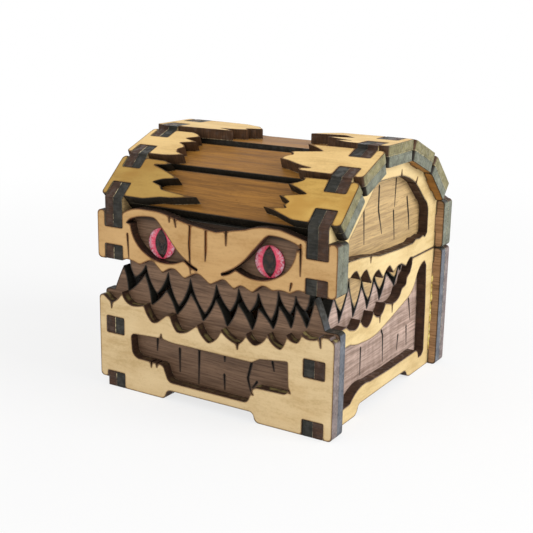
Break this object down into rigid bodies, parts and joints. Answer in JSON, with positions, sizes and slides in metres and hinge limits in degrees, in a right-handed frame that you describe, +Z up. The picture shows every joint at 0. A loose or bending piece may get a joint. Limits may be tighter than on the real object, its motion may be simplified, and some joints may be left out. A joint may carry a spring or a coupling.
{
  "type": "toothed treasure chest dice box",
  "caption": "Small wooden treasure chest with a hinged vaulted lid, interlocking carved teeth round the mouth, glass eyes and slotted box joints; holds dice.",
  "frame": {"origin": "bottom centre of the bounding box, hinges included", "axes": "-Y is the toothed front, +Y the hinged back, +X the chest's right-hand side seen from the front, +Z up"},
  "size_m": [0.0824, 0.0844, 0.0793],
  "materials": {
    "maple_ply": "satin, laser-cut edges charred",
    "walnut_ply": "satin, laser-cut edges charred",
    "iris": "printed streaked disc",
    "eye_glass": "polished dome",
    "hinge_brass": "satin"
  },
  "bodies": {
    "base": {"base_front_panel": "walnut_ply", "base_front_overlay": "maple_ply", "base_left_panel": "walnut_ply", "base_left_overlay": "maple_ply", "base_right_panel": "walnut_ply", "base_right_overlay": "maple_ply", "base_back_panel": "walnut_ply", "base_back_overlay": "maple_ply", "base_floor": "maple_ply", "left_hinge_base_leaf": "hinge_brass", "right_hinge_base_leaf": "hinge_brass", "left_hinge_pin": "hinge_brass", "right_hinge_pin": "hinge_brass", "base_hinge_screws": "hinge_brass"},
    "lid": {"lid_front_panel": "walnut_ply", "lid_front_overlay": "maple_ply", "lid_left_panel": "walnut_ply", "lid_left_overlay": "maple_ply", "lid_right_panel": "walnut_ply", "lid_right_overlay": "maple_ply", "lid_back_panel": "walnut_ply", "lid_back_overlay": "maple_ply", "left_iris": "iris", "right_iris": "iris", "left_eye": "eye_glass", "right_eye": "eye_glass", "roof_plank_1": "walnut_ply", "roof_plank_2": "walnut_ply", "roof_plank_3": "walnut_ply", "roof_plank_4": "walnut_ply", "roof_plank_5": "walnut_ply", "roof_left_plate_1": "maple_ply", "roof_left_plate_2": "maple_ply", "roof_left_plate_3": "maple_ply", "roof_left_plate_4": "maple_ply", "roof_left_plate_5": "maple_ply", "roof_right_plate_1": "maple_ply", "roof_right_plate_2": "maple_ply", "roof_right_plate_3": "maple_ply", "roof_right_plate_4": "maple_ply", "roof_right_plate_5": "maple_ply", "left_hinge_lid_leaf": "hinge_brass", "right_hinge_lid_leaf": "hinge_brass", "lid_hinge_screws": "hinge_brass"}
  },
  "joints": [
    {"name": "lid_hinge", "type": "hinge", "parent": "base", "child": "lid", "pos_m": [0, 0.04075, 0.04047], "axis": [-1, 0, 0], "range_deg": [0, 110]}
  ]
}
